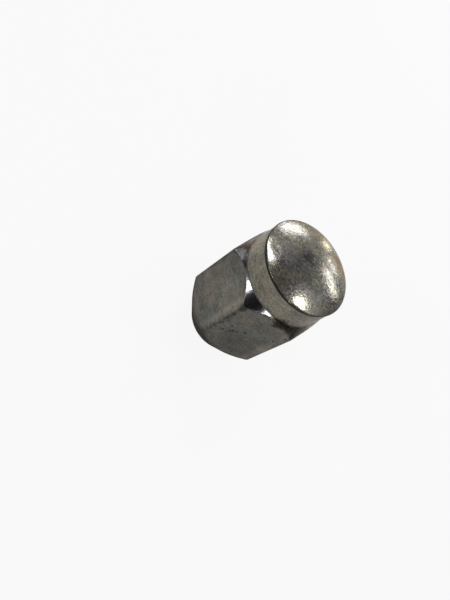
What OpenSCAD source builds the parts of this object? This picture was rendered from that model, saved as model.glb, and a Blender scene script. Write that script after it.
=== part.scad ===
// Closed-end lug nut with a conical seat, standing on its seat end.
// The nut's axis is Z, the seat end lies at z = 0 and the closed end is on top.
// Two of the hexagon's flats face +X and -X, and two of its edges face +Y and -Y.

/* [Hexagon] */
// Wrench size, across the flats
across_flats = 21; // [19:0.5:24]
// Radius of the rounded edges between the flats
edge_radius = 0.8; // [0.4:0.1:2]
// Length of the nut, from the seat end to the top of the crown
overall_length = 33; // [30:0.5:45]

/* [Conical seat] */
// Included angle of the seat
seat_angle = 60; // [54:1:90]
// Width of the flat ring around the hole's mouth
seat_ring = 0.7; // [0.4:0.1:1.2]
// Radius of the edge between the flat ring and the seat
seat_edge = 0.3; // [0.1:0.05:0.4]

/* [Closed end] */
// Step from the flats in to the foot of the collar, which lets a socket slide on
collar_step = 0.48; // [0.2:0.02:1.2]
// Length of the round collar, from its foot to the rim
collar_length = 5.4; // [3:0.1:8]
// Draft of the collar's side
collar_draft = 2; // [0.5:0.1:3]
// Included angle of the shoulder that cuts the hexagon's corners back to the collar
shoulder_angle = 68; // [54:1:90]
// Radius of the hollow where the shoulder meets the collar
foot_radius = 0.5; // [0.2:0.1:1.2]
// Radius of the rounded rim
rim_radius = 0.25; // [0.2:0.05:0.5]
// How far the rim stands out from the collar's side
rim_proud = 0.1; // [0.04:0.01:0.18]
// Height of the crowned end face above the rim
crown_height = 2; // [1:0.1:3]

/* [Threaded hole] */
// Nominal diameter of the thread
thread_d = 12; // [10:0.5:12.5]
// Pitch of the thread
thread_pitch = 1.5; // [1:0.25:1.75]
// How much wider the countersunk mouth is than the thread
mouth_margin = 0.8; // [0.4:0.1:1]
// Included angle of the countersunk mouth
mouth_angle = 90; // [60:5:120]
// Thickness of the solid end, from the hole's point to the top of the crown
end_wall = 6; // [4:0.5:10]
// Included angle of the hole's point
point_angle = 120; // [100:2:140]

/* [Hidden] */
$fn = 96;
steel_color = "#8f897e";
// Straight steps in each rounded edge of the turned outline
arc_steps = 8;
// Overshoot of the cutting shapes past the faces that they open
cut_over = 1;

// An internal thread's crests stand five eighths of its sharp profile in from the nominal diameter.
minor_r = thread_d / 2 - 5 / 8 * cos(30) * thread_pitch;
mouth_r = (thread_d + mouth_margin) / 2;
mouth_depth = (mouth_r - minor_r) / tan(mouth_angle / 2);
hole_depth = overall_length - end_wall - minor_r / tan(point_angle / 2);

seat_end_r = mouth_r + seat_ring;
collar_foot_r = across_flats / 2 - collar_step;
collar_top_r = collar_foot_r - collar_length * tan(collar_draft);
rim_z = overall_length - crown_height;
collar_foot_z = rim_z - collar_length;

// The crown is a ball's cap, tangent to the rounded rim.
rim_center_r = collar_top_r + rim_proud - rim_radius;
crown_r = (pow(rim_center_r, 2) + pow(crown_height, 2) - pow(rim_radius, 2))
    / (2 * (crown_height - rim_radius));
crown_angle = asin(rim_center_r / (crown_r - rim_radius));

// The turned outline passes clear of the hexagon's corners.
clear_r = across_flats / sqrt(3) + cut_over;

// Height of the seat cone and of the shoulder cone at radius r
function seat_z(r) = (r - seat_end_r) / tan(seat_angle / 2);
function shoulder_z(r) = collar_foot_z - (r - collar_foot_r) / tan(shoulder_angle / 2);

// Points along an arc, from one angle to another
function arc(center, r, from, to) = [
    for (k = [0 : arc_steps])
        let (angle = from + (to - from) * k / arc_steps)
            center + r * [cos(angle), sin(angle)]
];
// Centre of the arc that rounds a corner, whose two sides run in directions a and b
function arc_center(corner, r, a, b) =
    corner + r / sin(abs(b - a) / 2) * [cos((a + b) / 2), sin((a + b) / 2)];

// Hexagon with rounded corners, its flats facing +X and -X
module hexagon() {
    corner_r = (across_flats / 2 - edge_radius) / cos(30);
    for (k = [0 : 2])
        rotate(60 * k) square([across_flats, 2 * corner_r * sin(30)], center = true);
    for (k = [0 : 5])
        rotate(60 * k + 30) translate([corner_r, 0]) circle(edge_radius);
}

// Half of the turned outline, from the seat end up to the top of the crown
module turned_outline() {
    ring_dir = 180;
    seat_dir = 90 - seat_angle / 2;
    seat_center = arc_center([seat_end_r, 0], seat_edge, ring_dir, seat_dir);

    shoulder_dir = shoulder_angle / 2 - 90;
    collar_dir = 90 + collar_draft;
    foot_center = arc_center([collar_foot_r, collar_foot_z], foot_radius, shoulder_dir, collar_dir);

    rim_start = -acos(1 - rim_proud / rim_radius);

    polygon(concat(
        [[0, 0]],
        arc(seat_center, seat_edge, -90, seat_dir - 90),
        [[clear_r, seat_z(clear_r)], [clear_r, shoulder_z(clear_r)]],
        arc(foot_center, foot_radius, shoulder_dir - 90, collar_dir - 270),
        arc([rim_center_r, rim_z], rim_radius, rim_start, 90 - crown_angle),
        arc([0, overall_length - crown_r], crown_r, 90 - crown_angle, 90)
    ));
}

// Blind hole at the thread's minor diameter, with its countersunk mouth and its point
module threaded_hole() {
    point_z = hole_depth + minor_r / tan(point_angle / 2);
    mouth_over = cut_over * tan(mouth_angle / 2);
    rotate_extrude() polygon([
        [0, -cut_over],
        [mouth_r + mouth_over, -cut_over],
        [minor_r, mouth_depth],
        [minor_r, hole_depth],
        [0, point_z]
    ]);
}

module lug_nut() {
    color(steel_color) difference() {
        intersection() {
            linear_extrude(overall_length) hexagon();
            rotate_extrude() turned_outline();
        }
        threaded_hole();
    }
}

lug_nut();
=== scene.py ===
import math
import bpy
from mathutils import Matrix, Quaternion, Vector


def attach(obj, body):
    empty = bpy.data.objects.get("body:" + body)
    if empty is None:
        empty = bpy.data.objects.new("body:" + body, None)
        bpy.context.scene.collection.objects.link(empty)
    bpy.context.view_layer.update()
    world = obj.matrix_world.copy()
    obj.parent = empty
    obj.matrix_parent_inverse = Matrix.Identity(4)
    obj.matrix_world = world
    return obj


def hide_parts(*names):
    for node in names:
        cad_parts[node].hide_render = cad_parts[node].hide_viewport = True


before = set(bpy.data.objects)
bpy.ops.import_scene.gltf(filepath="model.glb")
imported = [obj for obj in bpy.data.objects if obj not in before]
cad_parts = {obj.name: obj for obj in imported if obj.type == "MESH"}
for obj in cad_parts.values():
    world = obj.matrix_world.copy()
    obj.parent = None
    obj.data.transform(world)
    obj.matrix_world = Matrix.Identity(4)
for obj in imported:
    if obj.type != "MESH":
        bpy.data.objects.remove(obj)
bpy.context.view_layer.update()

mm = 0.001
sameSpot = 2e-7                 # metres, points closer than this are one
noiseMean = 0.5
noiseSpan = (0.36, 0.64)        # where most of a noise lies
print("frame loaded:", ", ".join(sorted(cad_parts)))


# small helpers for node trees

def feed(tree, value, socket):
    if isinstance(value, bpy.types.NodeSocket):
        tree.links.new(value, socket)
    else:
        socket.default_value = value


def addNode(tree, kind, values=None, **settings):
    node = tree.nodes.new(kind)
    for name, setting in settings.items():
        setattr(node, name, setting)
    for name, value in (values or {}).items():
        feed(tree, value, node.inputs[name])
    return node


def calc(tree, operation, *values, clamp=False):
    node = addNode(tree, "ShaderNodeMath", operation=operation, use_clamp=clamp)
    for value, socket in zip(values, node.inputs):
        feed(tree, value, socket)
    return node.outputs[0]


def ramp(tree, value, low, high, toLow=0.0, toHigh=1.0, kind="SMOOTHSTEP"):
    node = addNode(tree, "ShaderNodeMapRange", interpolation_type=kind)
    for socket, entry in zip(node.inputs, (value, low, high, toLow, toHigh)):
        feed(tree, entry, socket)
    return node.outputs[0]


def product(tree, value, *others):
    for other in others:
        value = calc(tree, "MULTIPLY", value, other)
    return value


def inverse(tree, value):
    return calc(tree, "SUBTRACT", 1.0, value)


def between(tree, factor, first, second):
    gap = calc(tree, "SUBTRACT", second, first)
    return calc(tree, "MULTIPLY_ADD", factor, gap, first)


def dim(tree, value, mask, strength):
    # less of the value where the mask is
    return calc(tree, "MULTIPLY", value, calc(tree, "MULTIPLY_ADD", mask, -strength, 1.0))


def distanceTo(tree, place, center):
    node = addNode(tree, "ShaderNodeVectorMath", {0: place, 1: center}, operation="DISTANCE")
    return node.outputs["Value"]


def noise(tree, place, size, detail=2.0, roughness=0.5):
    scale = calc(tree, "DIVIDE", 1.0, size) if isinstance(size, bpy.types.NodeSocket) else 1.0 / size
    node = addNode(tree, "ShaderNodeTexNoise", {
        "Vector": place, "Scale": scale, "Detail": detail, "Roughness": roughness})
    return node.outputs["Fac"]


def rgba(color):
    return (*color, 1)


def mixColor(tree, factor, first, second, blend="MIX"):
    node = addNode(tree, "ShaderNodeMix", data_type="RGBA", blend_type=blend)
    feed(tree, factor, node.inputs[0])
    for socket, color in zip((node.inputs[6], node.inputs[7]), (first, second)):
        feed(tree, rgba(color) if isinstance(color, tuple) else color, socket)
    return node.outputs[2]


# camera first, at the photo's angle (image 450 x 600)

cameraPlace = {
    "location": (-0.00248, -0.0790, 0.0972),
    "right": (0.5222, 0.6467, 0.5559),
    "up": (-0.8528, 0.3931, 0.3439),
    "back": (0.0039, -0.6537, 0.7568),
    "focalPixels": 538.6,
    "imageHeight": 600,
    "sensor": 36.0,
    "clip": (0.002, 20),
}


def placeCamera(place):
    data = bpy.data.cameras.new("studioCamera")
    data.sensor_width = place["sensor"]
    data.lens = place["focalPixels"] / place["imageHeight"] * place["sensor"]
    data.clip_start, data.clip_end = place["clip"]
    camera = bpy.data.objects.new("studioCamera", data)
    axes = Matrix((place["right"], place["up"], place["back"])).transposed()
    camera.matrix_world = Matrix.Translation(place["location"]) @ axes.to_4x4()
    bpy.context.scene.collection.objects.link(camera)
    bpy.context.scene.camera = camera


placeCamera(cameraPlace)
print("camera placed")


# shared finishes

def newGroup(name, inputs, outputs):
    tree = bpy.data.node_groups.new(name, "ShaderNodeTree")
    for label, kind, value in inputs:
        socket = tree.interface.new_socket(name=label, in_out="INPUT", socket_type=kind)
        if value is not None:
            socket.default_value = value
    for label, kind in outputs:
        tree.interface.new_socket(name=label, in_out="OUTPUT", socket_type=kind)
    start = tree.nodes.new("NodeGroupInput")
    end = tree.nodes.new("NodeGroupOutput")
    return tree, start.outputs, end.inputs


def useGroup(tree, group, values):
    node = tree.nodes.new("ShaderNodeGroup")
    node.node_tree = group
    for name, value in values.items():
        feed(tree, value, node.inputs[name])
    return node.outputs


def newMaterial(name):
    material = bpy.data.materials.new(name)
    material.use_nodes = True
    return material, material.node_tree


def placeInMm(tree):
    place = addNode(tree, "ShaderNodeTexCoord").outputs["Object"]
    scale = (1 / mm, 1 / mm, 1 / mm)
    return addNode(tree, "ShaderNodeMapping", {"Vector": place, "Scale": scale}).outputs[0]


def addBump(tree, shader, height, depth):
    bump = addNode(tree, "ShaderNodeBump", {"Strength": 1.0, "Distance": depth * mm, "Height": height})
    feed(tree, bump.outputs["Normal"], shader.inputs["Normal"])


mottleForm = {
    "streakDraw": 0.3,          # x and y shrink by this, which draws the pattern out round the nut
    "lineDraw": 0.14,
    "lineWidth": 0.3,           # share of the streaks' width
}


def makeMottleGroup(form):
    # clouds, streaks and fine brush lines that run round the nut, and a grain
    tree, given, put = newGroup(
        "platingMottle",
        [("Vector", "NodeSocketVector", None), ("Cloud Size", "NodeSocketFloat", 3.0),
         ("Streak Width", "NodeSocketFloat", 0.8), ("Grain Size", "NodeSocketFloat", 0.35)],
        [("Clouds", "NodeSocketFloat"), ("Streaks", "NodeSocketFloat"), ("Lines", "NodeSocketFloat"),
         ("Grain", "NodeSocketFloat")])
    place = given["Vector"]

    def drawnOut(share):
        scale = (share, share, 1.0)
        return addNode(tree, "ShaderNodeVectorMath", {0: place, 1: scale}, operation="MULTIPLY").outputs[0]

    lineWidth = calc(tree, "MULTIPLY", given["Streak Width"], form["lineWidth"])
    streaks = noise(tree, drawnOut(form["streakDraw"]), given["Streak Width"], 3.0, 0.55)
    feed(tree, noise(tree, place, given["Cloud Size"], 4.0, 0.6), put["Clouds"])
    feed(tree, streaks, put["Streaks"])
    feed(tree, noise(tree, drawnOut(form["lineDraw"]), lineWidth, 2.0, 0.6), put["Lines"])
    feed(tree, noise(tree, place, given["Grain Size"], 2.0, 0.6), put["Grain"])
    return tree


def mottleTone(tree, mottle, shares, start=0.0):
    tone = start
    for name, share in shares.items():
        tone = calc(tree, "MULTIPLY_ADD", mottle[name], share, tone)
    return tone


speckForm = {
    "bendScale": 2.5,           # a noise bends the specks out of round
    "bend": (0.35, 0.35, 0.35),
    "leastSize": 0.4,           # smallest speck, as a share of the size asked for
    "core": 0.45,               # share of a speck that is dark all over
}


def makeSpeckGroup(form):
    # small dark pits, one at most in each cell
    tree, given, put = newGroup(
        "darkSpecks",
        [("Vector", "NodeSocketVector", None), ("Spacing", "NodeSocketFloat", 1.2),
         ("Size", "NodeSocketFloat", 0.22), ("Share", "NodeSocketFloat", 0.5)],
        [("Mask", "NodeSocketFloat")])
    place = given["Vector"]
    bend = addNode(tree, "ShaderNodeTexNoise", {"Vector": place, "Scale": form["bendScale"], "Detail": 1.0})
    bent = addNode(tree, "ShaderNodeVectorMath", {
        0: bend.outputs["Color"], 1: form["bend"], 2: place}, operation="MULTIPLY_ADD")
    cells = addNode(tree, "ShaderNodeTexVoronoi", {
        "Vector": bent.outputs[0], "Scale": calc(tree, "DIVIDE", 1.0, given["Spacing"])})
    chance = addNode(tree, "ShaderNodeSeparateColor", {"Color": cells.outputs["Color"]}).outputs
    there = calc(tree, "LESS_THAN", chance["Red"], given["Share"])
    reach = calc(tree, "MULTIPLY", given["Size"], calc(tree, "ADD", chance["Green"], form["leastSize"]))
    spot = ramp(tree, cells.outputs["Distance"], reach, calc(tree, "MULTIPLY", reach, form["core"]))
    feed(tree, calc(tree, "MULTIPLY", spot, there), put["Mask"])
    return tree


raggedSpotForm = {
    "raggedSize": 0.9,          # mm, of the noise at the edge
    "core": 0.35,               # share of the radius that is covered all over
}


def makeRaggedSpotGroup(form):
    # a soft spot around one place, with a ragged edge, for stains and for painted light and shade
    tree, given, put = newGroup(
        "raggedSpot",
        [("Vector", "NodeSocketVector", None), ("Center", "NodeSocketVector", None),
         ("Radius", "NodeSocketFloat", 2.0), ("Ragged", "NodeSocketFloat", 0.8)],
        [("Mask", "NodeSocketFloat")])
    place = given["Vector"]
    away = calc(tree, "DIVIDE", distanceTo(tree, place, given["Center"]), given["Radius"])
    rough = calc(tree, "SUBTRACT", noise(tree, place, form["raggedSize"], 3.0, 0.6), noiseMean)
    edge = calc(tree, "MULTIPLY_ADD", rough, given["Ragged"], away)
    feed(tree, ramp(tree, edge, 1.0, form["core"]), put["Mask"])
    return tree


mottleGroup = makeMottleGroup(mottleForm)
speckGroup = makeSpeckGroup(speckForm)
raggedSpotGroup = makeRaggedSpotGroup(raggedSpotForm)


def twoTone(tree, place, finish):
    # a dark and a light colour, mottled, with specks
    mottle = useGroup(tree, mottleGroup, {"Vector": place, "Cloud Size": finish["cloudSize"]})
    tone = ramp(tree, mottleTone(tree, mottle, finish["toneShares"]), *finish["toneSpan"])
    color = mixColor(tree, tone, finish["dark"], finish["light"])
    specks = useGroup(tree, speckGroup, {"Vector": place, "Spacing": finish["speckSpacing"]})["Mask"]
    color = mixColor(tree, calc(tree, "MULTIPLY", specks, finish["speckStrength"]), color, finish["speck"])
    return color, mottle["Grain"]


# painted shade: the seat's dark colours stand for the shaded floor it faces under the nut
seatFinish = {                  # colours are linear, lengths in mm
    "dark": (0.050, 0.040, 0.034),
    "light": (0.130, 0.112, 0.096),
    "speck": (0.012, 0.010, 0.008),
    "cloudSize": 2.0,
    "toneShares": {"Clouds": 0.5, "Streaks": 0.6},
    "toneSpan": (0.35, 0.75),
    "speckSpacing": 1.0,
    "speckStrength": 0.5,
    "roughness": 0.8,
    "specular": 0.0,
    "bumpHeight": 0.012,
}


def makeSeatGroup(finish):
    # painted shade: a dark mottled colour for the seat, which faces the shaded floor under the nut; it does
    # not shine
    tree, given, put = newGroup(
        "seatPaintedShade",
        [("Vector", "NodeSocketVector", None)],
        [("Color", "NodeSocketColor"), ("Grain", "NodeSocketFloat")])
    color, grain = twoTone(tree, given["Vector"], finish)
    feed(tree, color, put["Color"])
    feed(tree, grain, put["Grain"])
    return tree


seatGroup = makeSeatGroup(seatFinish)

platingFinish = {                                   # colours are linear, lengths in mm
    "greenGrey": (0.118, 0.116, 0.103),             # flats and collar
    "brownGrey": (0.137, 0.123, 0.103),
    "dullHueSize": 5.0,
    "collarTint": (1.47, 1.45, 1.34),
    "crownOlive": (0.322, 0.304, 0.246),            # crown and rim
    "crownPurple": (0.296, 0.281, 0.268),
    "brightHueSize": 3.2,
    "shoulderBlue": (0.296, 0.297, 0.311),
    "cloudSize": 2.6,
    "grainSize": 0.42,
    "wornGrain": 0.9,                               # ragged border between bright and dull faces
    "wornBorder": (0.35, 0.65),

    # tone of the dull faces
    "toneStart": -1.435,
    "toneShares": {"Clouds": 1.15, "Streaks": 1.50, "Lines": 1.00, "Grain": 1.25},
    "toneLeast": 0.36,
    "edgePaintedLight": 0.42,                              # painted light: paler on one side of each edge
    "edgePaintedShade": 0.66,                               # painted shade: darker on the other, in spots
    "edgeSpotSize": 1.3,
    "edgeSpots": (0.38, 0.60, 0.30, 1.0),
    "specks": {"Spacing": 1.25, "Size": 0.20, "Share": 0.50},
    "speckStrength": 0.42,
    "pepper": {"Spacing": 0.62, "Size": 0.15, "Share": 0.50},
    "pepperStrength": 0.18,
    "dustSize": 0.24,
    "dustTone": (0.88, 1.12),

    # painted shade and painted light on the dull faces: place, radius, darkening
    "paintedShading": [
        ((6.2, -8.6, 10.5), 8.5, 0.40),
        ((5.2, -9.1, 18.5), 9.0, 0.10),
        ((6.5, -8.4, 25.0), 2.1, 0.85),
        ((9.5, -6.5, 20.5), 4.5, 0.16),
        ((-1.0, -11.8, 8.5), 4.5, 0.25),
        ((0.2, -11.8, 22.4), 1.3, 0.60),
        ((-8.2, -7.4, 21.0), 5.0, 0.10),
        ((-6.5, -8.4, 8.5), 5.5, 0.18),
        ((-3.3, -10.2, 19.3), 4.5, -0.20),          # painted light, paler beside the near edge
        ((-9.2, -3.6, 28.0), 6.0, -0.38),           # and painted light where the collar turns away
    ],
    "paintedShadingRagged": 0.7,

    # pits on one flat: place, radius
    "pits": [
        ((1.77, -11.10, 13.50), 0.36), ((2.51, -10.67, 13.60), 0.30), ((2.19, -10.86, 16.02), 0.36),
        ((3.10, -10.33, 14.79), 0.46), ((3.77, -9.95, 15.40), 0.40), ((4.72, -9.40, 16.59), 0.44),
        ((0.60, -11.78, 15.37), 0.40), ((1.01, -11.54, 16.85), 0.28), ((2.75, -10.54, 14.30), 0.26),
        ((6.21, -8.54, 23.80), 0.46), ((9.71, -6.52, 22.45), 0.36), ((8.92, -6.97, 19.50), 0.32),
    ],
    "pitWobbleSize": 0.35,
    "pitWobble": 2.4,                               # shares of the pit's radius
    "pitEdge": (2.20, 1.60),
    "pitStrength": 0.78,
    "pitDepth": 2.0,                                # share of the bump's height

    # sheen of the bright faces
    "sheenSize": 1.5,
    "sheenStart": -0.20,
    "sheenClouds": 1.1,
    "sheenGrain": 1.3,
    "flecks": {"Spacing": 0.58, "Size": 0.36, "Share": 0.50},
    "fleckStrength": 0.50,
    "smooth": [((-6.4, -6.8, 31.4), 2.6), ((4.6, -7.8, 31.5), 1.8)],    # worn smooth: place, radius
    "smoothRagged": 0.7,

    # stains, painted reflections and painted shade on the bright faces: place, radius, colour, strength,
    # raggedness
    "stainsAndPaintedShading": [
        ((-10.2, -4.4, 24.2), 4.4, (0.195, 0.123, 0.098), 0.88, 1.1),   # painted reflection, brown on the left shoulder
        ((-8.8, -6.5, 24.1), 2.0, (0.800, 0.760, 0.800), 0.92, 1.6),    # and a painted highlight, a lighter streak beside it
        # painted highlight, a pale streak on the near shoulder
        ((-3.9, -9.5, 25.0), 2.4, (0.420, 0.395, 0.420), 0.85, 1.4),
        ((-6.8, -7.8, 24.9), 1.2, (0.060, 0.050, 0.052), 0.80, 1.1),    # painted shade in the hollows beside the collar
        ((5.7, -8.5, 25.2), 1.5, (0.060, 0.040, 0.036), 0.90, 1.1),
        ((7.2, -7.7, 24.8), 2.6, (0.030, 0.022, 0.018), 0.92, 1.1),
        ((10.2, -4.4, 24.2), 4.6, (0.055, 0.049, 0.029), 0.92, 1.1),    # painted reflection, dark on the right shoulder
        ((-1.2, -0.1, 33.0), 1.9, (0.085, 0.082, 0.112), 0.70, 3.0),    # smudges on the crown
        ((-3.2, -6.4, 32.1), 1.6, (0.095, 0.092, 0.110), 0.60, 2.6),
        ((-2.4, -3.2, 32.7), 2.6, (0.110, 0.105, 0.125), 0.45, 2.8),
        ((-1.2, -8.6, 31.6), 2.8, (0.205, 0.172, 0.138), 0.60, 1.4),    # brown inside the rim
        ((3.2, 8.4, 31.5), 3.6, (0.400, 0.270, 0.150), 0.66, 1.5),      # painted reflection, orange and yellow at the far rim
        ((-3.2, 7.4, 31.8), 3.6, (0.350, 0.305, 0.185), 0.60, 1.1),
    ],

    # flats where they end at the seat, and painted shade with dirt under the rim, at the collar's foot and
    # in the middle of each shoulder
    "lipBrown": (0.046, 0.037, 0.031),
    "lipStart": 0.75,
    "lipClouds": 0.4,
    "dirtAndShade": (0.014, 0.011, 0.009),
    "dirtAndShadeGrain": 0.8,
    "dirtAndShadeBorder": (0.25, 0.75),
    "dirtAndShadeStrength": 0.95,

    "dullRoughness": (0.44, 0.60),
    "brightRoughness": (0.12, 0.27),
    "brightRoughnessSize": 0.50,
    "shoulderRoughness": 0.15,
    "smoothRoughness": 0.10,
    "dirtAndShadeRoughness": 0.25,                          # added
    "peelSize": 0.46,                               # orange peel on the bright metal
    "shoulderPeelLess": 0.55,
    "smoothPeelLess": 0.70,
    "brushHeight": 0.5,                             # share of the bump's height
    "bumpHeight": 0.023,
}


def makePlating(finish):
    material, tree = newMaterial("platedSteel")
    shader = tree.nodes["Principled BSDF"]
    place = placeInMm(tree)

    def fromMesh(name):
        return addNode(tree, "ShaderNodeAttribute", attribute_name=name).outputs["Fac"]

    def speckMask(name):
        return useGroup(tree, speckGroup, {"Vector": place, **finish[name]})["Mask"]

    def spotMask(center, radius, ragged):
        return useGroup(tree, raggedSpotGroup, {
            "Vector": place, "Center": center, "Radius": radius, "Ragged": ragged})["Mask"]

    mottle = useGroup(tree, mottleGroup, {
        "Vector": place, "Cloud Size": finish["cloudSize"], "Grain Size": finish["grainSize"]})
    grain = calc(tree, "SUBTRACT", mottle["Grain"], noiseMean)
    worn = calc(tree, "MULTIPLY_ADD", grain, finish["wornGrain"], fromMesh("bright"))
    bright = ramp(tree, worn, *finish["wornBorder"])
    polish = fromMesh("polish")
    seat = fromMesh("seat")

    # dull plating on the flats and the collar
    hue = ramp(tree, noise(tree, place, finish["dullHueSize"], 3.0), *noiseSpan)
    dull = mixColor(tree, hue, finish["greenGrey"], finish["brownGrey"])
    tinted = mixColor(tree, 1.0, dull, finish["collarTint"], "MULTIPLY")
    dull = mixColor(tree, fromMesh("collar"), dull, tinted)
    tone = mottleTone(tree, mottle, finish["toneShares"], finish["toneStart"])
    # painted light on one side of each edge, painted shade in spots on the other
    tone = calc(tree, "MULTIPLY_ADD", fromMesh("edgePaintedLight"), finish["edgePaintedLight"], tone)
    spots = ramp(tree, noise(tree, place, finish["edgeSpotSize"], 3.0), *finish["edgeSpots"])
    edgePaintedShade = calc(tree, "MULTIPLY", fromMesh("edgePaintedShade"), spots)
    tone = calc(tree, "MULTIPLY_ADD", edgePaintedShade, -finish["edgePaintedShade"], tone)
    tone = calc(tree, "MAXIMUM", tone, finish["toneLeast"])
    # painted shade and painted light: darker and paler patches on the dull faces
    for center, radius, darkening in finish["paintedShading"]:
        tone = dim(tree, tone, spotMask(center, radius, finish["paintedShadingRagged"]), darkening)

    # pits, which are sunken too, then pepper and dust
    holes = calc(tree, "MULTIPLY", speckMask("specks"), finish["speckStrength"])
    wobble = noise(tree, place, finish["pitWobbleSize"], 2.0)
    outer, inner = finish["pitEdge"]
    for center, radius in finish["pits"]:
        away = distanceTo(tree, place, center)
        away = calc(tree, "MULTIPLY_ADD", wobble, radius * finish["pitWobble"], away)
        pit = ramp(tree, away, radius * outer, radius * inner, 0.0, finish["pitStrength"])
        holes = calc(tree, "MAXIMUM", holes, pit)
    tone = calc(tree, "MULTIPLY", tone, inverse(tree, holes))
    tone = dim(tree, tone, speckMask("pepper"), finish["pepperStrength"])
    dust = ramp(tree, noise(tree, place, finish["dustSize"], 1.0), *noiseSpan, *finish["dustTone"])
    tone = calc(tree, "MULTIPLY", tone, dust)
    dull = mixColor(tree, 1.0, dull, tone, "MULTIPLY")

    # brighter, flecked metal on the crown and the shoulder, with its stains and its painted reflections and
    # shade
    hue = ramp(tree, noise(tree, place, finish["brightHueSize"], 3.0), *noiseSpan)
    shiny = mixColor(tree, hue, finish["crownOlive"], finish["crownPurple"])
    shiny = mixColor(tree, polish, shiny, finish["shoulderBlue"])
    sheen = noise(tree, place, finish["sheenSize"], 4.0, 0.65)
    sheen = calc(tree, "MULTIPLY_ADD", sheen, finish["sheenClouds"], finish["sheenStart"])
    sheen = calc(tree, "MULTIPLY_ADD", mottle["Grain"], finish["sheenGrain"], sheen)
    smooth = 0.0
    for center, radius in finish["smooth"]:
        smooth = calc(tree, "MAXIMUM", smooth, spotMask(center, radius, finish["smoothRagged"]))
    rough = inverse(tree, calc(tree, "MAXIMUM", smooth, polish))
    flecks = calc(tree, "MULTIPLY", speckMask("flecks"), rough)
    sheen = dim(tree, sheen, flecks, finish["fleckStrength"])
    shiny = mixColor(tree, 1.0, shiny, sheen, "MULTIPLY")
    color = mixColor(tree, bright, dull, shiny)
    # stains, and painted reflections and shade, on the bright faces
    for center, radius, spotColor, strength, ragged in finish["stainsAndPaintedShading"]:
        mask = product(tree, spotMask(center, radius, ragged), strength, bright)
        color = mixColor(tree, mask, color, mixColor(tree, 1.0, spotColor, sheen, "MULTIPLY"))

    # brown lip above the seat, painted shade and dirt in the hollows, and the seat's painted shade
    lip = calc(tree, "MULTIPLY_ADD", mottle["Clouds"], finish["lipClouds"], finish["lipStart"])
    lip = calc(tree, "MULTIPLY", fromMesh("seatLip"), lip, clamp=True)
    color = mixColor(tree, lip, color, finish["lipBrown"])
    # painted shade and dirt: darker in the groove under the rim, at the collar's foot and in each
    # shoulder's middle
    soiledAndShaded = calc(tree, "MULTIPLY_ADD", grain, finish["dirtAndShadeGrain"], fromMesh("dirtAndShade"))
    soiledAndShaded = calc(tree, "MULTIPLY", ramp(tree, soiledAndShaded, *finish["dirtAndShadeBorder"]), finish["dirtAndShadeStrength"])
    color = mixColor(tree, soiledAndShaded, color, finish["dirtAndShade"])
    color = mixColor(tree, seat, color, useGroup(tree, seatGroup, {"Vector": place})["Color"])
    feed(tree, color, shader.inputs["Base Color"])
    feed(tree, inverse(tree, seat), shader.inputs["Metallic"])

    patches = noise(tree, place, finish["brightRoughnessSize"], 1.0)
    shinyRoughness = ramp(tree, patches, *noiseSpan, *finish["brightRoughness"])
    shinyRoughness = between(tree, polish, shinyRoughness, finish["shoulderRoughness"])
    shinyRoughness = between(tree, smooth, shinyRoughness, finish["smoothRoughness"])
    roughness = ramp(tree, mottle["Streaks"], *noiseSpan, *finish["dullRoughness"])
    roughness = between(tree, bright, roughness, shinyRoughness)
    roughness = calc(tree, "MULTIPLY_ADD", soiledAndShaded, finish["dirtAndShadeRoughness"], roughness)
    roughness = between(tree, seat, roughness, seatFinish["roughness"])
    feed(tree, roughness, shader.inputs["Roughness"])

    peel = noise(tree, place, finish["peelSize"], 2.5, 0.62)
    peel = dim(tree, peel, polish, finish["shoulderPeelLess"])
    peel = dim(tree, peel, smooth, finish["smoothPeelLess"])
    brushed = calc(tree, "MULTIPLY", mottle["Lines"], finish["brushHeight"])
    height = between(tree, bright, brushed, peel)
    sunken = calc(tree, "MULTIPLY", holes, inverse(tree, bright))
    height = calc(tree, "MULTIPLY_ADD", sunken, -finish["pitDepth"], height)
    addBump(tree, shader, height, finish["bumpHeight"])
    return material


threadFinish = {                # colours are linear, lengths in mm
    "dark": (0.12, 0.115, 0.105),
    "light": (0.29, 0.28, 0.25),
    "speck": (0.030, 0.026, 0.020),
    "cloudSize": 1.5,
    "toneShares": {"Clouds": 0.4, "Lines": 0.6},
    "toneSpan": noiseSpan,
    "speckSpacing": 0.9,
    "speckStrength": 0.6,
    "roughness": 0.36,
    "bumpHeight": 0.01,
}


def makeThreadSteel(finish):
    material, tree = newMaterial("threadSteel")
    shader = tree.nodes["Principled BSDF"]
    shader.inputs["Metallic"].default_value = 1.0
    shader.inputs["Roughness"].default_value = finish["roughness"]
    color, grain = twoTone(tree, placeInMm(tree), finish)
    feed(tree, color, shader.inputs["Base Color"])
    addBump(tree, shader, grain, finish["bumpHeight"])
    return material


def makeSeatPaintedShade(finish):
    material, tree = newMaterial("darkSeat")
    shader = tree.nodes["Principled BSDF"]
    shader.inputs["Metallic"].default_value = 0.0
    shader.inputs["Roughness"].default_value = finish["roughness"]
    shader.inputs["Specular IOR Level"].default_value = finish["specular"]
    # painted shade on the seat
    scale = useGroup(tree, seatGroup, {"Vector": placeInMm(tree)})
    feed(tree, scale["Color"], shader.inputs["Base Color"])
    addBump(tree, shader, scale["Grain"], finish["bumpHeight"])
    return material


platedSteel = makePlating(platingFinish)
darkSeat = makeSeatPaintedShade(seatFinish)
threadSteel = makeThreadSteel(threadFinish)
print("finishes made")


# the nut: a turned outline, swept round and cut by the hexagon and the thread

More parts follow.
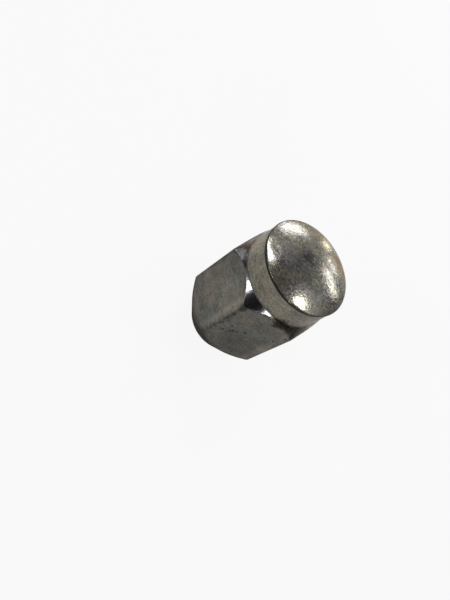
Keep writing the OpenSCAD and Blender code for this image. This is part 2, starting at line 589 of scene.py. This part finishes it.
nutSizes = {                    # millimetres and degrees, as the solid has them
    "acrossFlats": 21.0,
    "edgeRadius": 0.8,
    "length": 33.0,
    "seatAngle": 60.0,
    "seatRing": 0.7,
    "seatEdge": 0.3,
    "collarStep": 0.48,
    "collarLength": 5.4,
    "collarDraft": 2.0,
    "shoulderAngle": 68.0,
    "footRadius": 0.5,
    "rimRadius": 0.25,
    "rimProud": 0.1,
    "crownHeight": 2.0,
    "threadDiameter": 12.0,
    "threadPitch": 1.5,
    "mouthMargin": 0.8,
    "mouthAngle": 90.0,
    "endWall": 6.0,
    "pointAngle": 120.0,

    # surface and mesh
    "threadFlank": (3 / 8, 1 / 16),     # its crest and root ends, in pitches from the groove's middle
    "threadRunout": 0.6,        # share of its depth that a groove gains in each pitch from the end
    "edgeSoftness": 0.22,       # rounding where the cones cut the flats
    "waveHeight": 0.03,         # forging waviness, always inwards
    "waveSize": 4.0,
    "grooveHeight": 0.2,        # painted shade and dirt under the rim
    "collarStart": 0.35,        # below the rim, where the collar begins, past the painted shade and dirt of the groove
    "cornerClear": 0.25,        # how far the turned outline passes outside the corners
    "seatClear": 0.3,           # how far inside the flats the seat's wider rows begin
    "columnsPerSide": 36,       # mesh columns on each of the six sides
    "cornerCrowding": 0.7,      # how much closer they stand at the corners
    "rows": {                   # mesh rows in each stretch of the outline
        "crown": 48, "rim": 12, "rimTop": 4, "groove": 3, "collar": 20, "foot": 8, "shoulder": 32,
        "flats": 36, "seatTop": 28, "seat": 14, "seatEdge": 6, "ring": 3, "mouth": 10, "thread": 182,
        "point": 8,
    },

    # where the finish changes
    "bare": (0.12, 0.28),       # how far a cone or turned face lies inside the hexagon
    "bright": (-0.02, 0.42),
    "seat": (-0.14, 0.10),
    "seatLip": (-0.6, -0.1),
    "lightStart": (0.1, 0.9),   # painted light band, from the hexagon's edge
    "lightEnd": (2.4, 1.3),
    "darkEnd": (1.1, 0.3),      # painted shade band, from the edge
    "darkFade": (9.0, 19.0),    # height over which it fades towards the seat
    "darkLeft": 0.40,           # and what is left of it there
    "saddle": (0.30, 0.08),     # darker middle of each shoulder, in radians
    "saddleDarkening": 0.44,
    "allSeat": 0.97,            # faces that get the seat's own material
}
threadDepth = 5 / 8 * math.cos(math.radians(30))    # of an internal thread, in pitches


def tangent(degrees):
    return math.tan(math.radians(degrees))


def arcPoints(center, radius, start, end, steps):
    points = []
    for k in range(steps + 1):
        angle = math.radians(start + (end - start) * k / steps)
        points.append((center[0] + radius * math.cos(angle), center[1] + radius * math.sin(angle)))
    return points


def linePoints(first, last, steps):
    return [(first[0] + (last[0] - first[0]) * k / steps, first[1] + (last[1] - first[1]) * k / steps)
            for k in range(steps + 1)]


def roundedCorner(corner, radius, firstWay, secondWay):
    reach = radius / math.sin(math.radians(abs(secondWay - firstWay)) / 2)
    middle = math.radians((firstWay + secondWay) / 2)
    return (corner[0] + reach * math.cos(middle), corner[1] + reach * math.sin(middle))


def below(point, drop):
    return (point[0], point[1] - drop)


def turnedOutline(sizes):
    rows = sizes["rows"]
    half = sizes["acrossFlats"] / 2
    minorRadius = sizes["threadDiameter"] / 2 - threadDepth * sizes["threadPitch"]
    mouthRadius = (sizes["threadDiameter"] + sizes["mouthMargin"]) / 2
    mouthDepth = (mouthRadius - minorRadius) / tangent(sizes["mouthAngle"] / 2)
    holeTip = sizes["length"] - sizes["endWall"]
    holeEnd = holeTip - minorRadius / tangent(sizes["pointAngle"] / 2)
    seatEnd = mouthRadius + sizes["seatRing"]
    footRadius = half - sizes["collarStep"]
    topRadius = footRadius - sizes["collarLength"] * tangent(sizes["collarDraft"])
    rise = sizes["crownHeight"]
    rimHeight = sizes["length"] - rise
    footHeight = rimHeight - sizes["collarLength"]
    rimRadius = sizes["rimRadius"]
    rimCenter = topRadius + sizes["rimProud"] - rimRadius
    rimStart = -math.degrees(math.acos(1 - sizes["rimProud"] / rimRadius))
    crownRadius = (rimCenter ** 2 + rise ** 2 - rimRadius ** 2) / (2 * (rise - rimRadius))
    crownEnd = 90 - math.degrees(math.asin(rimCenter / (crownRadius - rimRadius)))
    clearRadius = half / math.cos(math.radians(30)) + sizes["cornerClear"]
    seatWay = 90 - sizes["seatAngle"] / 2
    shoulderWay = sizes["shoulderAngle"] / 2 - 90
    collarWay = 90 + sizes["collarDraft"]
    seatCenter = roundedCorner((seatEnd, 0), sizes["seatEdge"], 180, seatWay)
    footCenter = roundedCorner((footRadius, footHeight), sizes["footRadius"], shoulderWay, collarWay)

    def seatPoint(radius):
        return (radius, (radius - seatEnd) / tangent(sizes["seatAngle"] / 2))

    crown = arcPoints((0, sizes["length"] - crownRadius), crownRadius, 90, crownEnd, rows["crown"])
    rim = arcPoints((rimCenter, rimHeight), rimRadius, crownEnd, rimStart, rows["rim"])
    foot = arcPoints(footCenter, sizes["footRadius"], collarWay - 270, shoulderWay - 90, rows["foot"])
    seatEdge = arcPoints(seatCenter, sizes["seatEdge"], seatWay - 90, -90, rows["seatEdge"])
    grooveEnd = below(rim[-1], sizes["grooveHeight"])
    collarTop = below(rim[-1], sizes["collarStart"])
    flatTop = (clearRadius, footHeight - (clearRadius - footRadius) / tangent(sizes["shoulderAngle"] / 2))
    flatFoot = seatPoint(clearRadius)
    seatBreak = seatPoint(half - sizes["seatClear"])
    mouth = (mouthRadius, 0)
    threadStart = (minorRadius, mouthDepth)
    threadEnd = (minorRadius, holeEnd)
    rimTop = rows["rimTop"]
    # points of each stretch, and what the finish reads from it
    stretches = [
        (crown, {"bright": 1}),
        (rim[:rimTop], {"bright": 1}),
        (rim[rimTop:], {"bright": 1, "dirtAndShade": 1}),
        (linePoints(rim[-1], grooveEnd, rows["groove"]), {"dirtAndShade": 1}),
        (linePoints(collarTop, foot[0], rows["collar"]), {"collar": 1}),
        (foot, {"collar": 0.4, "dirtAndShade": 0.35, "polish": 1}),
        (linePoints(foot[-1], flatTop, rows["shoulder"]), {"bright": 1, "polish": 1}),
        (linePoints(flatTop, flatFoot, rows["flats"]), {}),
        (linePoints(flatFoot, seatBreak, rows["seatTop"]), {"seat": 1}),
        (linePoints(seatBreak, seatEdge[0], rows["seat"]), {"seat": 1}),
        (seatEdge, {"seat": 1}),
        (linePoints(seatEdge[-1], mouth, rows["ring"]), {"seat": 1}),
        (linePoints(mouth, threadStart, rows["mouth"]), {"hole": 1}),
        (linePoints(threadStart, threadEnd, rows["thread"]), {"hole": 1}),
        (linePoints(threadEnd, (0, holeTip), rows["point"]), {}),
    ]
    return stretches, holeEnd


def makeOutlineObject(stretches):
    points = []
    rowValues = {name: [] for name in ("bright", "polish", "dirtAndShade", "collar", "seat", "hole")}
    for stretchPoints, values in stretches:
        for radius, height in stretchPoints:
            spot = (radius * mm, 0.0, height * mm)
            if points and (Vector(spot) - Vector(points[-1])).length < sameSpot:
                continue
            points.append(spot)
            for label, row in rowValues.items():
                row.append(float(values.get(label, 0)))
    mesh = bpy.data.meshes.new("turnedOutline")
    mesh.from_pydata(points, [(k, k + 1) for k in range(len(points) - 1)], [])
    for label, row in rowValues.items():
        mesh.attributes.new(label + "Row", "FLOAT", "POINT").data.foreach_set("value", row)
    piece = bpy.data.objects.new("turnedOutline", mesh)
    bpy.context.scene.collection.objects.link(piece)
    return piece


def makeNutTree(sizes):
    tree = bpy.data.node_groups.new("lugNutForm", "GeometryNodeTree")

    def addInput(name, kind):
        tree.interface.new_socket(name=name, in_out="INPUT", socket_type=kind)

    addInput("Geometry", "NodeSocketGeometry")
    tree.interface.new_socket(name="Geometry", in_out="OUTPUT", socket_type="NodeSocketGeometry")
    for name in ("Across Flats", "Edge Radius", "Edge Softness", "Corner Crowding", "Thread Radius",
                 "Thread Pitch", "Thread End", "Wave Height", "Wave Size"):
        addInput(name, "NodeSocketFloat")
    addInput("Columns Per Side", "NodeSocketInt")
    for name in ("Plating", "Seat Finish", "Thread Finish"):
        addInput(name, "NodeSocketMaterial")
    given = tree.nodes.new("NodeGroupInput").outputs
    outline = given["Geometry"]
    side = math.tau / 6             # angle of one side of the hexagon
    halfSide = side / 2

    def position():
        return addNode(tree, "GeometryNodeInputPosition").outputs[0]

    def named(name):
        node = addNode(tree, "GeometryNodeInputNamedAttribute", {"Name": name}, data_type="FLOAT")
        return node.outputs["Attribute"]

    # a flat grid: one row for each outline point, one column for each angle
    rows = addNode(tree, "GeometryNodeAttributeDomainSize", {"Geometry": outline}).outputs["Point Count"]
    columns = calc(tree, "MULTIPLY", given["Columns Per Side"], 6.0)
    lastRow = calc(tree, "SUBTRACT", rows, 1.0)
    grid = addNode(tree, "GeometryNodeMeshGrid", {
        "Size X": columns, "Size Y": lastRow,
        "Vertices X": calc(tree, "ADD", columns, 1.0), "Vertices Y": rows})
    spot = addNode(tree, "ShaderNodeSeparateXYZ", {0: position()}).outputs
    column = calc(tree, "ROUND", calc(tree, "MULTIPLY_ADD", columns, 0.5, spot["X"]))
    row = calc(tree, "ROUND", calc(tree, "MULTIPLY_ADD", lastRow, 0.5, spot["Y"]))

    def fromOutline(kind, value):
        node = addNode(tree, "GeometryNodeSampleIndex", {
            "Geometry": outline, "Value": value, "Index": row}, data_type=kind, domain="POINT")
        return node.outputs[0]

    def rowValue(name):
        return fromOutline("FLOAT", named(name + "Row"))

    outlineSpot = addNode(tree, "ShaderNodeSeparateXYZ", {
        0: fromOutline("FLOAT_VECTOR", position())}).outputs
    turned = outlineSpot["X"]
    height = outlineSpot["Z"]
    holeRow = rowValue("hole")
    seatRow = rowValue("seat")

    # angle of each column, crowded towards the six corners
    sides = calc(tree, "DIVIDE", column, given["Columns Per Side"])
    part = calc(tree, "FRACT", sides)
    swing = calc(tree, "SINE", calc(tree, "MULTIPLY", part, math.tau))
    swing = product(tree, swing, 1 / math.tau, given["Corner Crowding"])
    part = calc(tree, "SUBTRACT", part, swing)
    turn = calc(tree, "ADD", calc(tree, "FLOOR", sides), part)
    angle = calc(tree, "MULTIPLY_ADD", turn, side, halfSide)

    # radius of the hexagon with rounded corners at that angle
    flat = calc(tree, "MULTIPLY", given["Across Flats"], 0.5)
    fromFlat = calc(tree, "ABSOLUTE", calc(tree, "SUBTRACT", part, 0.5))
    fromFlat = calc(tree, "MULTIPLY", fromFlat, side)
    fromCorner = calc(tree, "SUBTRACT", halfSide, fromFlat)
    flatRadius = calc(tree, "DIVIDE", flat, calc(tree, "COSINE", fromFlat))
    edge = given["Edge Radius"]
    pivot = calc(tree, "DIVIDE", calc(tree, "SUBTRACT", flat, edge), math.cos(halfSide))
    across = calc(tree, "MULTIPLY", pivot, calc(tree, "SINE", fromCorner))
    under = calc(tree, "MULTIPLY", across, across)
    under = calc(tree, "SUBTRACT", calc(tree, "MULTIPLY", edge, edge), under)
    reach = calc(tree, "SQRT", calc(tree, "MAXIMUM", under, 0.0))
    cornerRadius = calc(tree, "MULTIPLY_ADD", pivot, calc(tree, "COSINE", fromCorner), reach)
    flatEnd = calc(tree, "MULTIPLY", pivot, math.sin(halfSide))
    flatEnd = calc(tree, "ARCTANGENT", calc(tree, "DIVIDE", flatEnd, flat))
    onCorner = calc(tree, "GREATER_THAN", fromFlat, flatEnd)
    hexagon = between(tree, onCorner, flatRadius, cornerRadius)
    outside = calc(tree, "SMOOTH_MIN", turned, hexagon, given["Edge Softness"])

    # right-hand thread: sixty degree grooves, run out before the end of the hole
    pitch = given["Thread Pitch"]
    depth = calc(tree, "MULTIPLY", pitch, threadDepth)
    phase = calc(tree, "DIVIDE", height, pitch)
    phase = calc(tree, "SUBTRACT", phase, calc(tree, "DIVIDE", angle, math.tau))
    fromRoot = calc(tree, "ABSOLUTE", calc(tree, "SUBTRACT", calc(tree, "FRACT", phase), 0.5))
    groove = ramp(tree, fromRoot, *sizes["threadFlank"], kind="LINEAR")
    runout = calc(tree, "DIVIDE", calc(tree, "SUBTRACT", given["Thread End"], height), pitch)
    runout = calc(tree, "MULTIPLY", runout, sizes["threadRunout"], clamp=True)
    cut = calc(tree, "MULTIPLY", groove, runout)
    crest = calc(tree, "SUBTRACT", given["Thread Radius"], depth)
    inside = calc(tree, "MAXIMUM", turned, calc(tree, "MULTIPLY_ADD", cut, depth, crest))
    radius = between(tree, holeRow, outside, inside)

    def band(value, name, *ends):
        return ramp(tree, value, sizes[name][0] * mm, sizes[name][1] * mm, *ends)

    # what the finish reads: cones and turned faces, and bands of painted light and painted shade beside the
    # six edges
    past = calc(tree, "SUBTRACT", hexagon, turned)
    bare = band(past, "bare")
    onFlats = inverse(tree, bare)
    fromEdge = calc(tree, "SUBTRACT", math.tan(halfSide), calc(tree, "TANGENT", fromFlat))
    fromEdge = calc(tree, "MULTIPLY", flat, fromEdge)
    before = calc(tree, "GREATER_THAN", part, 0.5)
    after = inverse(tree, before)
    fading = band(height, "darkFade", sizes["darkLeft"], 1.0)
    polish = rowValue("polish")
    saddle = ramp(tree, fromFlat, *sizes["saddle"], 0.0, sizes["saddleDarkening"])
    finishValues = {
        "bright": product(tree, rowValue("bright"), band(past, "bright")),
        "polish": polish,
        "seat": product(tree, seatRow, band(past, "seat")),
        "seatLip": product(tree, seatRow, band(past, "seatLip")),
        "dirtAndShade": calc(tree, "MAXIMUM", rowValue("dirtAndShade"), product(tree, saddle, polish, bare)),
        "collar": rowValue("collar"),
        "hole": holeRow,
        "edgePaintedLight": product(
            tree, band(fromEdge, "lightEnd"), band(fromEdge, "lightStart"), before, onFlats),
        "edgePaintedShade": product(tree, band(fromEdge, "darkEnd"), after, onFlats, fading),
    }
    stored = grid.outputs["Mesh"]
    for name, value in finishValues.items():
        keep = addNode(tree, "GeometryNodeStoreNamedAttribute", {
            "Geometry": stored, "Name": name, "Value": value}, data_type="FLOAT", domain="POINT")
        stored = keep.outputs[0]

    # stand the grid up, close its seam and its two ends, turn its faces outwards
    place = addNode(tree, "ShaderNodeCombineXYZ", {
        "X": calc(tree, "MULTIPLY", radius, calc(tree, "COSINE", angle)),
        "Y": calc(tree, "MULTIPLY", radius, calc(tree, "SINE", angle)),
        "Z": height})
    stood = addNode(tree, "GeometryNodeSetPosition", {"Geometry": stored, "Position": place.outputs[0]})
    outward = addNode(tree, "GeometryNodeFlipFaces", {"Mesh": stood.outputs[0]})
    closed = addNode(tree, "GeometryNodeMergeByDistance", {
        "Geometry": outward.outputs[0], "Distance": sameSpot})

    # slow waves of the forging, pressed inwards
    inHole = named("hole")
    wave = noise(tree, position(), given["Wave Size"])
    push = product(tree, wave, given["Wave Height"], calc(tree, "SUBTRACT", inHole, 1.0))
    normal = addNode(tree, "GeometryNodeInputNormal").outputs[0]
    inward = addNode(tree, "ShaderNodeVectorMath", {0: normal, "Scale": push}, operation="SCALE")
    waved = addNode(tree, "GeometryNodeSetPosition", {
        "Geometry": closed.outputs[0], "Offset": inward.outputs[0]})
    smooth = addNode(tree, "GeometryNodeSetShadeSmooth", {"Geometry": waved.outputs[0]})

    solid = addNode(tree, "GeometryNodeRealizeInstances", {"Geometry": smooth.outputs[0]}).outputs[0]
    for name, where in (("Plating", True),
                        ("Seat Finish", calc(tree, "GREATER_THAN", named("seat"), sizes["allSeat"])),
                        ("Thread Finish", calc(tree, "GREATER_THAN", inHole, 0.5))):
        solid = addNode(tree, "GeometryNodeSetMaterial", {
            "Geometry": solid, "Selection": where, "Material": given[name]}).outputs[0]
    end = tree.nodes.new("NodeGroupOutput")
    feed(tree, solid, end.inputs["Geometry"])
    return tree


def bakeTree(source, tree, values, name):
    modifier = source.modifiers.new(name, "NODES")
    modifier.node_group = tree
    for socket in tree.interface.items_tree:
        if socket.item_type == "SOCKET" and socket.in_out == "INPUT" and socket.name in values:
            modifier[socket.identifier] = values[socket.name]
    graph = bpy.context.evaluated_depsgraph_get()
    mesh = bpy.data.meshes.new_from_object(source.evaluated_get(graph))
    source.modifiers.remove(modifier)
    piece = bpy.data.objects.new(name, mesh)
    bpy.context.scene.collection.objects.link(piece)
    bpy.data.objects.remove(source)
    return piece


def buildNut(sizes):
    stretches, holeEnd = turnedOutline(sizes)
    return bakeTree(makeOutlineObject(stretches), makeNutTree(sizes), {
        "Across Flats": sizes["acrossFlats"] * mm,
        "Edge Radius": sizes["edgeRadius"] * mm,
        "Edge Softness": sizes["edgeSoftness"] * mm,
        "Corner Crowding": sizes["cornerCrowding"],
        "Thread Radius": sizes["threadDiameter"] / 2 * mm,
        "Thread Pitch": sizes["threadPitch"] * mm,
        "Thread End": holeEnd * mm,
        "Wave Height": sizes["waveHeight"] * mm,
        "Wave Size": sizes["waveSize"] * mm,
        "Columns Per Side": sizes["columnsPerSide"],
        "Plating": platedSteel,
        "Seat Finish": darkSeat,
        "Thread Finish": threadSteel,
    }, "lugNut")


lugNut = buildNut(nutSizes)
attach(lugNut, "root")
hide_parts("lug_nut")
print("nut built:", len(lugNut.data.polygons), "faces")


# studio: pale floor, grey room, soft lamps, one dark card

studio = {                              # metres and degrees
    "floorReach": 2.0,
    "floorGap": 0.00005,                # keeps the floor and the seat end from flickering
    "floorHole": 0.0069,                # open under the nut, so that light reaches the seat end
    "floorCenter": (-0.01, 0.09, 0.0),
    "floorFade": (0.19, 0.6),
    "floorPaint": (0.9, 0.9, 0.9),
    "floorWhite": (1.0, 1.0, 1.0),
    "floorGlow": 0.90,                  # share that glows where it is seen, the rest takes the shadow
    "roomColor": (0.22, 0.22, 0.22),
    "target": (0, 0, 0.03),             # what the lamps and the card face
    "lampDistance": 0.4,
    # name, elevation, azimuth (0 is the front, 90 the right), width, height, roll, radiance, colour
    "lamps": [
        ("frontLeft", 20, -28, 16, 18, 0, 7.0, (1, 1, 1)),
        ("frontRight", 19, 37, 11, 18, 0, 6.5, (1, 1, 1)),
        ("backLeft", 25.5, 205, 19, 6.5, 36, 5.4, (1, 1, 0.97)),
        ("backLeftHalo", 25, 204, 25, 14, 36, 0.45, (1, 1, 0.97)),
        ("backRight", 28, 162.5, 15.5, 7, 13, 5.2, (1, 1, 0.97)),
        ("backRightLow", 17.5, 172, 9, 4.5, 0, 4.6, (1, 1, 0.97)),
        ("backLow", 8, 182, 4, 6, 0, 5.0, (1, 0.97, 0.88)),
        ("backGlow", 4, 179, 46, 18, 0, 0.36, (1, 0.88, 0.72)),
        ("topLeft", 57, 235, 4.4, 20, 0, 9.0, (1, 1, 1)),
        ("topRight", 63, 127.5, 5.5, 10, 0, 10.0, (1, 1, 0.97)),
        ("softLeft", 42, 214, 26, 36, 0, 0.23, (1, 1, 1)),
        ("softRight", 54, 135, 24, 26, 0, 0.31, (1, 1, 0.97)),
        ("softHigh", 42, 162, 22, 14, 0, 0.10, (0.80, 0.94, 1)),
        ("softBack", 24, 181, 26, 26, 0, 0.22, (1, 0.98, 0.92)),
    ],
    "cardCorners": ((2, -16), (2, 26), (38, 26), (38, -16)),    # elevation, azimuth
    "cardDistance": 0.42,
    "cardColor": (0.018, 0.018, 0.026),
    "cardRoughness": 0.9,
}


def wayTo(elevation, azimuth):
    e = math.radians(elevation)
    a = math.radians(azimuth)
    return Vector((math.sin(a) * math.cos(e), -math.cos(a) * math.cos(e), math.sin(e)))


def spanAt(distance, angle):
    return 2 * distance * math.tan(math.radians(angle / 2))


def addLamp(setup, name, elevation, azimuth, wide, high, roll, radiance, color):
    distance = setup["lampDistance"]
    data = bpy.data.lights.new(name, "AREA")
    data.shape = "RECTANGLE"
    data.size = spanAt(distance, wide)
    data.size_y = spanAt(distance, high)
    data.energy = radiance * math.pi * data.size * data.size_y
    data.color = color
    lamp = bpy.data.objects.new(name, data)
    way = wayTo(elevation, azimuth)
    lamp.location = Vector(setup["target"]) + way * distance
    facing = way.to_track_quat("Z", "Y") @ Quaternion((0, 0, 1), math.radians(roll))
    lamp.rotation_euler = facing.to_euler()
    lamp.visible_camera = False
    bpy.context.scene.collection.objects.link(lamp)


def addPlate(name, corners, material):
    mesh = bpy.data.meshes.new(name)
    mesh.from_pydata(corners, [], [(0, 1, 2, 3)])
    mesh.materials.append(material)
    plate = bpy.data.objects.new(name, mesh)
    bpy.context.scene.collection.objects.link(plate)
    return plate


def mixShader(tree, factor, first, second):
    return addNode(tree, "ShaderNodeMixShader", {
        0: factor, 1: first.outputs[0], 2: second.outputs[0]})


def makeFloorMaterial(setup):
    # white round the nut, fading into the grey of the room, clear from below and open under the nut
    material, tree = newMaterial("paleFloor")
    tree.nodes.clear()
    place = addNode(tree, "ShaderNodeTexCoord").outputs["Object"]
    fade = ramp(tree, distanceTo(tree, place, setup["floorCenter"]), *setup["floorFade"])
    paint = mixColor(tree, fade, setup["floorPaint"], setup["roomColor"])
    shine = mixColor(tree, fade, setup["floorWhite"], setup["roomColor"])
    diffuse = addNode(tree, "ShaderNodeBsdfDiffuse", {"Color": paint})
    glow = addNode(tree, "ShaderNodeEmission", {"Color": shine, "Strength": 1.0})
    path = addNode(tree, "ShaderNodeLightPath").outputs
    seen = calc(tree, "MAXIMUM", path["Is Glossy Ray"], path["Is Transmission Ray"])
    seen = calc(tree, "MAXIMUM", path["Is Camera Ray"], seen)
    lit = mixShader(tree, calc(tree, "MULTIPLY", seen, setup["floorGlow"]), diffuse, glow)
    away = addNode(tree, "ShaderNodeVectorMath", {0: place}, operation="LENGTH").outputs["Value"]
    opening = calc(tree, "LESS_THAN", away, setup["floorHole"])
    underside = addNode(tree, "ShaderNodeNewGeometry").outputs["Backfacing"]
    clear = calc(tree, "MAXIMUM", underside, opening)
    surface = mixShader(tree, clear, lit, addNode(tree, "ShaderNodeBsdfTransparent"))
    end = tree.nodes.new("ShaderNodeOutputMaterial")
    feed(tree, surface.outputs[0], end.inputs["Surface"])
    return material


def makeCardMaterial(setup):
    material, tree = newMaterial("darkCard")
    shader = tree.nodes["Principled BSDF"]
    shader.inputs["Base Color"].default_value = rgba(setup["cardColor"])
    shader.inputs["Roughness"].default_value = setup["cardRoughness"]
    return material


def buildStudio(setup):
    reach = setup["floorReach"]
    corners = [(-reach, -reach), (reach, -reach), (reach, reach), (-reach, reach)]
    addPlate("floor", [(x, y, -setup["floorGap"]) for x, y in corners], makeFloorMaterial(setup))
    for lamp in setup["lamps"]:
        addLamp(setup, *lamp)
    ways = [wayTo(*corner) for corner in setup["cardCorners"]]
    corners = [tuple(Vector(setup["target"]) + way * setup["cardDistance"]) for way in ways]
    card = addPlate("darkCard", corners, makeCardMaterial(setup))
    card.visible_camera = False
    card.visible_shadow = False
    world = bpy.data.worlds.new("greyRoom")
    world.use_nodes = True
    world.node_tree.nodes["Background"].inputs["Color"].default_value = rgba(setup["roomColor"])
    bpy.context.scene.world = world
    bpy.context.scene.view_settings.view_transform = "Standard"


buildStudio(studio)
print("studio lit")
